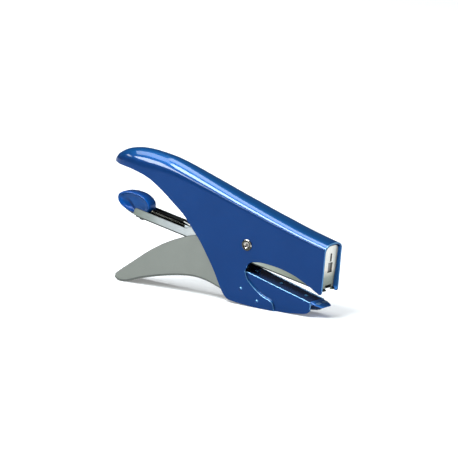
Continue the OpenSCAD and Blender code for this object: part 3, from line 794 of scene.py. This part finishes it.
# ---------------------------------------------------------------- folded sheets
def folded(name, node, fold, free, half, t, r, T, width=0.2, cols=6, steps=6, mat=None, rim=None, dark=0):
    """A channel: the sheet runs across along the fold line, outward normal to the left of travel, and its two sides are closed by the free outline."""
    S = Sheet()
    nn = normals2(fold)
    rows = []
    for q, n in zip(fold, nn):
        o, i = [], []
        for k in range(steps + 1):
            a = math.pi / 2 * k / steps
            for g, l in ((0.0, o), (t, i)):
                rr = max(0.05, r - g)
                c = (q[0] - n[0] * r, q[1] - n[1] * r)
                y = (half - r) + rr * math.cos(a)
                l.append((c[0] + n[0] * rr * math.sin(a), -y, c[1] + n[1] * rr * math.sin(a)))
        mid_o, mid_i = [], []
        for k in range(1, cols):
            y = -(half - r) + 2 * (half - r) * k / cols
            mid_o.append((q[0], y, q[1]))
            mid_i.append((q[0] - n[0] * t, y, q[1] - n[1] * t))
        o = o + mid_o + [(p[0], -p[1], p[2]) for p in reversed(o)]
        i = i + mid_i + [(p[0], -p[1], p[2]) for p in reversed(i)]
        rows.append([S.add(a, b) for a, b in zip(o, i)])
    S.grid(rows)
    # painted shade: the faces of the fold's rounding nearest each side take the rim material
    painted_shade_faces = set()
    if rim:
        for a, b in zip(rows, rows[1:]):
            for k in list(range(dark)) + list(range(len(a) - 1 - dark, len(a) - 1)):
                painted_shade_faces.add(frozenset((a[k], a[k + 1], b[k + 1], b[k])))
    for side in (-1, 1):
        ids = [(row[0] if side < 0 else row[-1]) for row in rows]
        ids += [S.add((q[0], side * half, q[1]), (q[0], side * (half - t), q[1])) for q in free]
        S.face(*ids)
    ob = S.make(name, T)
    bevel(ob, width, 3, rim=rim)
    done(ob, node, MATS[mat] if mat else None)
    if painted_shade_faces:
        tint(ob, painted_shade_faces)
    return ob


LEVER_LOW = spl([(-105.7, -38.4), (-104.6, -39.9), (-102.8, -40.7), (-99.6, -41), (-94, -40.1),
                 (-84.7, -36.8), (-73, -33.6), (-61, -31), (-49.5, -29.2), (-41, -28.9),
                 (-33, -29.9), (-25.5, -32), (-20.5, -33.8)], 5)
LEVER_TOP = spl([(-105.7, -38.4), (-105.2, -37.2), (-103, -35), (-97.4, -30.7), (-89, -24.6), (-81.5, -19),
                 (-73.5, -13.8), (-66, -9.6), (-58, -5.8), (-50, -2.7), (-41.5, -0.3),
                 (-34, 3), (-28, 7.5), (-22, 10.4), (-15, 10), (-4, 8.5), (16, 9), (36, 8.6),
                 (47, 6.7), (51.5, 5.9)], 5)
LEVER_FRONT = [(53, 4.7), (53.4, 3), (52.6, 1.2), (51, 0.2)] + spl(
    [(46, -0.8), (30, -4.4), (14, -7.6), (5, -9), (-4, -11), (-10, -15.4), (-14.5, -22.5), (-18, -30)], 5)


# travel reversed, so that the outward normal points down
low_rev = list(reversed(LEVER_LOW))
free = LEVER_TOP[7:] + LEVER_FRONT
# outline order: fold from front to tail, then along the top to the nose and back under it
folded("lever_shell_panel", "lever_shell", low_rev, free, 8.45, 1.1, 1.5, P, 0.28, rim="lever_edge", dark=3)


def head_to_mag(u, v):
    a = math.radians(5)
    return (u * math.cos(a) - v * math.sin(a), u * math.sin(a) + v * math.cos(a))


def channel_lines():
    f0, f1 = head_to_mag(52.95, -8), head_to_mag(52.95, 0)
    fx = f0[0] + (-3.6 - f0[1]) * (f1[0] - f0[0]) / (f1[1] - f0[1])
    bx = f0[0] + (-12.3 - f0[1]) * (f1[0] - f0[0]) / (f1[1] - f0[1])
    return fx, bx


FX, BX = channel_lines()
mag_fold = [(x, -12.3) for x in [BX, 45, 38, 30, 20, 10, 0, -10, -20, -30, -40, -50, -60, -70, -80, -88]] + [(-90.2, -12.3)]
ear = [(4.6 * math.cos(math.radians(a)), 4.6 * math.sin(math.radians(a))) for a in range(160, 19, -10)]
mag_free = ([(-91.3, -11.3), (-91.9, -10.5), (-92, -9.4), (-92, -8.1), (-91.75, -7.3), (-91.2, -6.6), (-90.3, -6.3),
             (-80, -6.3), (-65, -6.3), (-50, -6.3), (-46, -3.6), (-30, -3.6), (-9, -3.6), (-5.5, 0.5)] + ear +
            [(5.5, 0.5), (9, -3.6), (25, -3.6), (40, -3.6), (FX, -3.6)])
folded("magazine_rail", "magazine_channel", mag_fold, mag_free, 7.2, 0.6, 0.95, MAG, 0.16, cols=4, steps=5, mat="zinc_rail_painted_light", rim="rail_edge", dark=5)


def op(t, kind, a, b=None):
    m = t.nodes.new("ShaderNodeMath")
    m.operation = kind
    for v, k in ((a, 0), (b, 1)):
        if v is None:
            continue
        if isinstance(v, float):
            m.inputs[k].default_value = v
        else:
            t.links.new(v, m.inputs[k])
    return m.outputs[0]


def patches(src, name, places, colour):
    """a copy of a finish with lighter patches, painted highlights: each is (x, y, half x, half y, roundness, soft edge)
    in mm from the pivot
    """
    m = MATS[src].copy()
    m.name = name
    t = m.node_tree
    b = t.nodes["Principled BSDF"]
    sep = t.nodes.new("ShaderNodeSeparateXYZ")
    t.links.new(coords(t), sep.inputs[0])
    total = None
    for x, y, hx, hy, e, soft in places:
        px = op(t, "POWER", op(t, "ABSOLUTE", op(t, "MULTIPLY", op(t, "SUBTRACT", sep.outputs["X"], PX + x * MM), 1.0 / (hx * MM))), e)
        py = op(t, "POWER", op(t, "ABSOLUTE", op(t, "MULTIPLY", op(t, "SUBTRACT", sep.outputs["Y"], y * MM), 1.0 / (hy * MM))), e)
        one = mapr(t, op(t, "ADD", px, py), 1.0, 0.0, 1.0 - soft, 1.0 + soft)
        total = one if total is None else op(t, "MAXIMUM", total, one)
    old = b.inputs["Base Color"].links[0].from_socket
    t.links.new(mix(t, total, old, colour), b.inputs["Base Color"])
    return m


# ---------------------------------------------------------------- lower jaw strip with its dimples
def arm_z(x):
    return -18.9 - SLOPE * (x - 1.1)


def build_arm():
    S = Sheet()
    half, t, r = 7.05, 1.0, 0.55
    ang = math.atan(SLOPE)
    nx, nz = math.sin(ang), math.cos(ang)
    dots = [1.8, 21.7, 41.7]
    n_x, n_y = 230, 36
    rows = []
    for a in range(n_x + 1):
        x = -8 + 57.6 * a / n_x
        o, i = [], []
        for side in (-1, 1):
            part_o, part_i = [], []
            for k in range(5):
                th = math.pi / 2 * k / 4
                for g, l in ((0, part_o), (t, part_i)):
                    rr = max(0.05, r + 0.5 - g) if g else r
                    rr = r if g == 0 else 0.06
                    cy, cz = half - r, arm_z(x) - r
                    if g:
                        cy, cz = half - t - 0.06, arm_z(x) - t - 0.06
                    y = cy + rr * math.cos(th)
                    z = cz + rr * math.sin(th)
                    l.append((x, side * y, z))
            if side < 0:
                o, i = part_o, part_i
                for k in range(1, n_y):
                    y = -(half - r) + 2 * (half - r) * k / n_y
                    h = 0.0
                    for d in dots:
                        rad = math.hypot((x - d) / math.cos(ang), y)
                        h += 0.72 * (1 - smooth((rad - 0.45) / 1.35))
                    o = o + [(x + nx * h, y, arm_z(x) + nz * h)]
                    i = i + [(x, y, arm_z(x) - t)]
            else:
                o = o + list(reversed(part_o))
                i = i + list(reversed(part_i))
        rows.append([S.add(p, q) for p, q in zip(o, i)])
    S.grid(rows)
    lower = spl([(49.6, -36.2), (49.2, -37.6), (46, -38.4), (40, -39), (30, -39.8), (18, -40), (4, -39.6), (-5, -38.6), (-8, -37.2)], 4)
    for side in (-1, 1):
        ids = [(row[0] if side < 0 else row[-1]) for row in rows]
        ids += [S.add((q[0], side * half, q[1]), (q[0], side * (half - t), q[1])) for q in lower]
        S.face(*ids)
    ob = S.make("anvil_arm_panel", P)
    # painted highlight: the arm's rims take a lighter blue
    bevel(ob, 0.18, 2, rim="jaw_light")
    # painted highlights: lighter patches lie on the three dimples
    return done(ob, "anvil_arm", patches("jaw_navy", "jaw_dimple_highlight", [(d, 0, 1.25, 1.25, 2.0, 0.3) for d in dots], (0.090, 0.290, 0.520)))


build_arm()


# ---------------------------------------------------------------- anvil tip
def build_tip():
    """the flat spoon of the jaw, with the two clinching grooves pressed in it"""
    x0, x1 = 49.6, 58.2
    z0, z1 = -30.4, -33.05
    n_x, n_y = 64, 96

    def half(x):
        return lookup(x, [(49.6, 6.9), (53.4, 7.05), (54.2, 6.9), (55.0, 6.55), (57.6, 5.2), (58.0, 4.85), (58.2, 4.4)])
    v, f = [], []
    top, bot = [], []
    for a in range(n_x + 1):
        x = x0 + (x1 - x0) * a / n_x
        zt = z0 + (z1 - z0) * (x - x0) / (x1 - x0)
        th = 1.15 + 0.55 * (1 - smooth((x - 49.6) / 2.2))
        rt, rb = [], []
        for b in range(n_y + 1):
            u = -1 + 2 * b / n_y
            y = half(x) * u
            edge = min((1 - abs(u)) * half(x), x1 - x)
            drop = 0.32 * (1 - math.sqrt(max(0, 1 - (1 - min(1, edge / 0.4)) ** 2)))
            h = 0.0
            for s in (-1, 1):
                dx, dy = (x - 53.9) / 0.95, (y - s * 3.35) / 2.35
                q = math.sqrt(abs(dx) ** 2.6 + abs(dy) ** 4)
                h += 0.62 * (1 - smooth((q - 0.55) / 0.6))
            rise = 0.26 * (smooth((x - 51.9) / 0.35) - smooth((x - 56.1) / 0.35)) * smooth((6.1 - abs(y)) / 0.35)
            v.append(P((x, y, zt - drop - h + rise - 0.26)))
            rt.append(len(v) - 1)
            v.append(P((x, y, zt - th + drop * 0.8)))
            rb.append(len(v) - 1)
        top.append(rt)
        bot.append(rb)
    for a in range(n_x):
        for b in range(n_y):
            f.append((top[a][b], top[a + 1][b], top[a + 1][b + 1], top[a][b + 1]))
            f.append((bot[a][b], bot[a][b + 1], bot[a + 1][b + 1], bot[a + 1][b]))
        f.append((top[a][0], bot[a][0], bot[a + 1][0], top[a + 1][0]))
        f.append((top[a][-1], top[a + 1][-1], bot[a + 1][-1], bot[a][-1]))
    for b in range(n_y):
        f.append((top[0][b], top[0][b + 1], bot[0][b + 1], bot[0][b]))
        f.append((top[-1][b], bot[-1][b], bot[-1][b + 1], top[-1][b + 1]))
    # the tongue under the strip that carries the spoon
    w, zc = 5.85, -1.0
    tong = []
    for x in (36, 40, 45, 49.7):
        tong.append([P((x, -w, arm_z(x) - 1.02)), P((x, w, arm_z(x) - 1.02)), P((x, w, arm_z(x) - 2.3)), P((x, -w, arm_z(x) - 2.3))])
    base = len(v)
    for q in tong:
        v.extend(q)
    for a in range(3):
        for k in range(4):
            q = (k + 1) % 4
            f.append((base + a * 4 + k, base + a * 4 + q, base + a * 4 + 4 + q, base + a * 4 + 4 + k))
    f.append((base + 3, base + 2, base + 1, base))
    f.append((base + 12, base + 13, base + 14, base + 15))
    ob = finish_mesh("anvil_tip_spoon", v, f, sharp_deg=50)
    w = ob.modifiers.new("Normals", "WEIGHTED_NORMAL")
    w.keep_sharp = True
    # painted highlights: lighter patches lie on the two grooves
    return done(ob, "anvil_tip", patches("tip_blue", "tip_groove_highlight", [(53.9, y, 1.05, 2.45, 3.0, 0.25) for y in (-3.35, 3.35)], (0.22, 0.42, 0.70)))


MATS["tip_blue"] = paint("tip_blue", (0.020, 0.135, 0.460), (0.017, 0.125, 0.430), metallic=0.15, rough=0.2, coat=0.8)
build_tip()


# ---------------------------------------------------------------- hollow rivet
def build_rivet():
    # near flare, from the bore round the rolled lip to the shell
    lip = []
    for k in range(15):
        a = math.radians(200 - 225 * k / 14)
        lip.append((2.85 + 1.0 * math.cos(a), 10.05 + 0.78 * math.sin(a)))
    far = [(1.30, 9.90), (1.52, 9.96), (1.72, 10.08)] + lip + [(3.72, 9.78), (2.05, 9.78), (2.02, 9.5)]
    far = [(0.02, 9.83), (0.5, 9.84), (0.95, 9.86)] + far
    body = far + [(r, -y) for r, y in reversed(far)]
    v, f = lathe_y("rivet", body, (0, 0), 72)
    ob = finish_mesh("pivot_rivet_rolled", v, f, sharp_deg=60)
    done(ob, "pivot_rivet")
    ob.data.materials.append(MATS["rivet_painted_shade"])
    ob.data.materials.append(MATS["rivet_dish_painted_shade"])
    # painted light and shade: the dish and the ring are darker, except the ring's outer faces turned up and right,
    # which keep the bright nickel as a painted highlight
    for f in ob.data.polygons:
        c = f.center
        r = math.hypot(c.x - PX, c.z - PZ) / MM
        if r < 1.2:
            f.material_index = 2
        elif r > 2.05 and not (r > 2.9 and f.normal.z + 0.6 * f.normal.x > 0.3):
            f.material_index = 1
    return ob


build_rivet()


def build_jaw_rivets():
    v, f = [], []
    for c in ((-4, -30), (9, -36.5)):
        far = [(0.0001, 10.38), (0.35, 10.36), (0.7, 10.27), (0.92, 10.12), (1.06, 9.96), (1.22, 9.88), (1.42, 9.84), (1.62, 9.80), (1.62, 9.7), (1.22, 9.6)]
        body = far + [(1.2, 9.0), (1.2, -9.0)] + [(r, -y) for r, y in reversed(far)]
        vv, ff = [], []
        m, seg = len(body), 40
        b0 = len(v)
        for k in range(seg):
            a = 2 * math.pi * k / seg
            for r, y in body:
                v.append(P((c[0] + r * math.cos(a), y, c[1] + r * math.sin(a))))
        for k in range(seg):
            q = (k + 1) % seg
            for i in range(m - 1):
                f.append((b0 + k * m + i, b0 + k * m + i + 1, b0 + q * m + i + 1, b0 + q * m + i))
    ob = finish_mesh("jaw_rivets_domed", v, f, sharp_deg=60)
    bm = bmesh.new()
    bm.from_mesh(ob.data)
    bmesh.ops.remove_doubles(bm, verts=bm.verts, dist=1e-6)
    bmesh.ops.recalc_face_normals(bm, faces=bm.faces)
    bm.to_mesh(ob.data)
    bm.free()
    # painted highlight: the domes take the rims' lighter blue, darker where they face away
    return done(ob, "jaw_rivets", MATS["shell_edge"])


build_jaw_rivets()


# ---------------------------------------------------------------- loader knob
def build_knob():
    out = spl([(-108.8, -5.3), (-108.3, -2.7), (-104.8, 0), (-98.6, 1.8), (-91.5, 2.1), (-86.4, 0.7),
               (-83.2, -1.8), (-82.4, -5), (-82.8, -8.6), (-85, -11), (-90, -11.4), (-97.5, -11.4),
               (-103, -10.4), (-107.2, -8.1), (-108.8, -5.3)], 8)[:-1]
    out = resample(out, 96, True)
    cx, cz = -94.6, -4.5
    rings = [(1.0, 0.0), (1.0, 2.0), (0.992, 2.9), (0.972, 3.7), (0.945, 4.22), (0.915, 4.46), (0.885, 4.47), (0.86, 4.3),
             (0.83, 3.95), (0.78, 3.5), (0.74, 3.28), (0.70, 3.1), (0.64, 2.92), (0.58, 2.78), (0.51, 2.68), (0.44, 2.6),
             (0.36, 2.55), (0.28, 2.52), (0.20, 2.5), (0.12, 2.5)]
    v, f = [], []
    n = len(out)
    order = []
    # the thumb rest: a fold that crosses the dish from the tail down to the rail
    ax, az, bx, bz = -103.2, -2.6, -94.6, -9.2
    fl = math.hypot(bx - ax, bz - az)

    def fold_at(x, z):
        d = ((x - ax) * (bz - az) - (z - az) * (bx - ax)) / fl
        along = ((x - ax) * (bx - ax) + (z - az) * (bz - az)) / fl
        return smooth((along - 0.6) / 4.5) * 0.75 * math.exp(-((d - 0.3) / 1.25) ** 2) + 0.35 * smooth((d + 0.4) / 1.8)
    for side in (-1, 1):
        for k, (s, y) in enumerate(rings):
            if side == 1 and k == 0:
                order.append(order[0])
                continue
            row = []
            for q in out:
                qx, qz = cx + (q[0] - cx) * s, cz + (q[1] - cz) * (s if s > 0.9 else s * 0.985)
                y2 = y - fold_at(qx, qz) * smooth((0.9 - s) / 0.14)
                v.append(MAG((qx, side * y2, qz)))
                row.append(len(v) - 1)
            order.append(row)
        v.append(MAG((cx, side * (2.5 - fold_at(cx, cz)), cz)))
        order.append([len(v) - 1])
    m = len(rings) + 1
    for blk in (order[:m], order[m:]):
        for a, b in zip(blk, blk[1:]):
            for k in range(n):
                q = (k + 1) % n
                if len(b) == 1:
                    f.append((a[k], a[q], b[0]))
                else:
                    f.append((a[k], a[q], b[q], b[k]))
    ob = finish_mesh("loader_knob_moulding", v, f, sharp_deg=80)
    return done(ob, "loader_knob")


build_knob()

# ---------------------------------------------------------------- springs
def coil(n_turns, per, fn):
    return [fn(i / (n_turns * per), 2 * math.pi * i / per) for i in range(n_turns * per + 1)]


def build_return_spring():
    turns, per = 5, 28
    pts = [(2.6 * math.cos(math.radians(100) + 2 * math.pi * i / per), -4.6 + 9.2 * i / (turns * per),
            2.6 * math.sin(math.radians(100) + 2 * math.pi * i / per)) for i in range(turns * per + 1)]
    a0 = spl([(-20.9, -4.8, 30.3), (-19.6, -4.8, 29.9), (-17.8, -4.8, 28.2), (-10, -4.75, 15.8), (-2.6, -4.7, 3.6)], 5)
    a1 = spl([(-2.2, 4.65, 3.2), (-6, 4.7, 4.9), (-13, 4.78, 7.6), (-19, 4.8, 9.7), (-24, 4.8, 9.8), (-25, 4.8, 9.2)], 4)
    near = tube("return_spring_fixed_leg", a0[:-1] + pts, 0.4, 10)
    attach(near, "body")
    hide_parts("return_spring")
    arm = tube("return_spring_lever_leg", [pts[-1]] + a1, 0.4, 10)
    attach(arm, "lever")
    for ob in (near, arm):
        ob.data.materials.append(MATS["spring_steel"])


build_return_spring()


def build_pusher_spring():
    turns, per, r, w = 27, 20, 2.0, 0.34
    pts = []
    for i in range(turns * per + 1):
        s = i / (turns * per)
        a = 2 * math.pi * i / per
        pts.append((-80.6 + 28.2 * s, r * math.cos(a), -7.9 + r * math.sin(a)))
    ob = tube("pusher_spring_coil", pts, w, 8, MAG)
    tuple(MAG((-81, 0, -7.9)))
    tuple(MAG((-52, 0, -7.9)))
    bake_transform(ob)
    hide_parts("pusher_spring")
    ob.data.materials.append(MATS["spring_steel"])


build_pusher_spring()


def build_driver_spring():
    turns, per, r, w = 7, 24, 2.2, 0.35
    pts = []
    for i in range(turns * per + 1):
        s = i / (turns * per)
        a = 2 * math.pi * i / per
        pts.append((50 + r * math.cos(a), r * math.sin(a), -7.2 + 11.7 * s))
    ob = tube("driver_spring_coil", pts, w, 8, HEAD)
    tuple(HEAD((50, 0, -7.6)))
    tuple(HEAD((50, 0, 4.9)))
    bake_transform(ob)
    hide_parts("driver_spring")
    ob.data.materials.append(MATS["spring_steel"])


build_driver_spring()

# ---------------------------------------------------------------- the rest: CAD shapes with rolled edges
for node, width in (("nose_pin", 0.2), ("spring_bar", 0.2), ("staple_core", 0.12), ("magazine_cover", 0.1),
                    ("head_guide", 0.14), ("core_rivets", 0.08), ("driver_blade", 0.1),
                    ("driver_carrier", 0.2), ("driver_rivets", 0.12), ("guide_rod", 0.25), ("rod_collar", 0.2),
                    ("rod_tip", 0.2), ("latch_leaf", 0.08), ("pusher_block", 0.25)):
    refine(node, width)
refine("pusher_slipper", 0.1, mat="zinc")
refine("front_plate", 0.14, mat="plate_painted_shade")
refine("latch_button", 0.3, mat="black_plastic")

# ---------------------------------------------------------------- floor, light, camera
def build_stage():
    me = bpy.data.meshes.new("floor")
    s = 9.0
    n = 24
    v = [(-s + 2 * s * i / n, -s + 2 * s * j / n, 0.0) for i in range(n + 1) for j in range(n + 1)]
    f = [(i * (n + 1) + j, (i + 1) * (n + 1) + j, (i + 1) * (n + 1) + j + 1, i * (n + 1) + j + 1) for i in range(n) for j in range(n)]
    me.from_pydata(v, [], f)
    ob = bpy.data.objects.new("floor", me)
    bpy.context.scene.collection.objects.link(ob)
    ob.location.z = -0.0001
    m, t, b = nt("floor_paper")
    c = coords(t)
    t.links.new(ramp(t, noise(t, c, 3, 2), [(0.2, (0.79, 0.79, 0.79)), (0.8, (0.81, 0.81, 0.81))]), b.inputs["Base Color"])
    b.inputs["Roughness"].default_value = 0.95
    b.inputs["Specular IOR Level"].default_value = 0.1
    b.inputs["Emission Color"].default_value = (1, 1, 1, 1)
    b.inputs["Emission Strength"].default_value = 0.22
    ob.data.materials.append(m)


def area(name, at, aim, size, power, colour=(1, 1, 1)):
    l = bpy.data.lights.new(name, "AREA")
    l.shape = "RECTANGLE"
    l.size, l.size_y = size
    l.energy = power
    l.color = colour
    ob = bpy.data.objects.new(name, l)
    bpy.context.scene.collection.objects.link(ob)
    ob.location = at
    ob.rotation_mode = "QUATERNION"
    way = Vector(aim) - Vector(at)
    ob.rotation_quaternion = (1, 0, 0, 0) if way.normalized().z < -0.9999 else way.to_track_quat("-Z", "Y")
    ob.visible_camera = False
    return ob


def radiance(l, size):
    """watts for an area light of that radiance"""
    return l * math.pi * size[0] * size[1]


def build_light():
    w = bpy.data.worlds.new("studio")
    bpy.context.scene.world = w
    w.use_nodes = True
    t = w.node_tree
    bg = t.nodes["Background"]
    tc = t.nodes.new("ShaderNodeTexCoord")
    sep = t.nodes.new("ShaderNodeSeparateXYZ")
    t.links.new(tc.outputs["Generated"], sep.inputs[0])
    r = ramp(t, mapr(t, sep.outputs["Z"], 0, 1, -0.1, 1.0), [(0.0, (1.0, 1.0, 1.0)), (0.085, (1.0, 1.0, 1.0)), (0.095, (0.06, 0.06, 0.065)), (0.6, (0.05, 0.05, 0.055)), (1.0, (0.12, 0.12, 0.13))])
    t.links.new(r, bg.inputs["Color"])
    bg.inputs["Strength"].default_value = 1.0
    mid = Vector((0.0, 0.0, 0.045))
    # softboxes hung in one plane; sizes and places in units of its height
    h, cool = 1.25, (0.94, 1.0, 1.03)
    for name, x0, x1, y0, y1, l in (("over", -0.42, 0.40, -0.14, 0.38, 5.8),
                                    ("over_left", -0.95, -0.42, -0.55, 0.06, 4.6),
                                    ("front", -0.50, 0.12, -0.95, -0.38, 18.0),
                                    ("front_left", -1.35, -0.80, -2.1, -0.98, 14.0),
                                    ("low_left", -2.0, -1.66, -1.15, -0.5, 8.0)):
        size = ((x1 - x0) * h, (y1 - y0) * h)
        at = Vector(((x0 + x1) / 2 * h, (y0 + y1) / 2 * h, h)) + mid
        area(name, at, at - Vector((0, 0, 1)), size, radiance(l, size), cool)
    # weak fill from the camera's right
    a = Vector((1.1, -0.9, 0.7)).normalized() * 1.7 + mid
    size = (0.6, 0.6)
    area("fill", a, mid, size, radiance(0.8, size))


def build_camera():
    right = Vector((0.8205, 0.5706, 0.0334)).normalized()
    up = Vector((-0.1598, 0.1729, 0.9718))
    up = (up - right * up.dot(right)).normalized()
    back = right.cross(up).normalized()
    cam = bpy.data.cameras.new("camera")
    ob = bpy.data.objects.new("camera", cam)
    bpy.context.scene.collection.objects.link(ob)
    cam.type = "ORTHO"
    scale = 1.53 * 1000
    cam.ortho_scale = 458 / scale
    dist = 2.0
    target = Vector((0.0247, -0.0098, 0.041))
    px, py = 247 - 229, 245 - 229
    centre = target - right * (px / scale) + up * (py / scale)
    ob.matrix_world = Matrix((
        (right.x, up.x, back.x, (centre + back * dist).x),
        (right.y, up.y, back.y, (centre + back * dist).y),
        (right.z, up.z, back.z, (centre + back * dist).z),
        (0, 0, 0, 1)))
    cam.clip_start, cam.clip_end = 0.1, 60
    cam.dof.use_dof = False
    bpy.context.scene.camera = ob


build_stage()
build_light()
build_camera()
bpy.context.scene.view_settings.view_transform = "Standard"
bpy.context.scene.view_settings.look = "None"
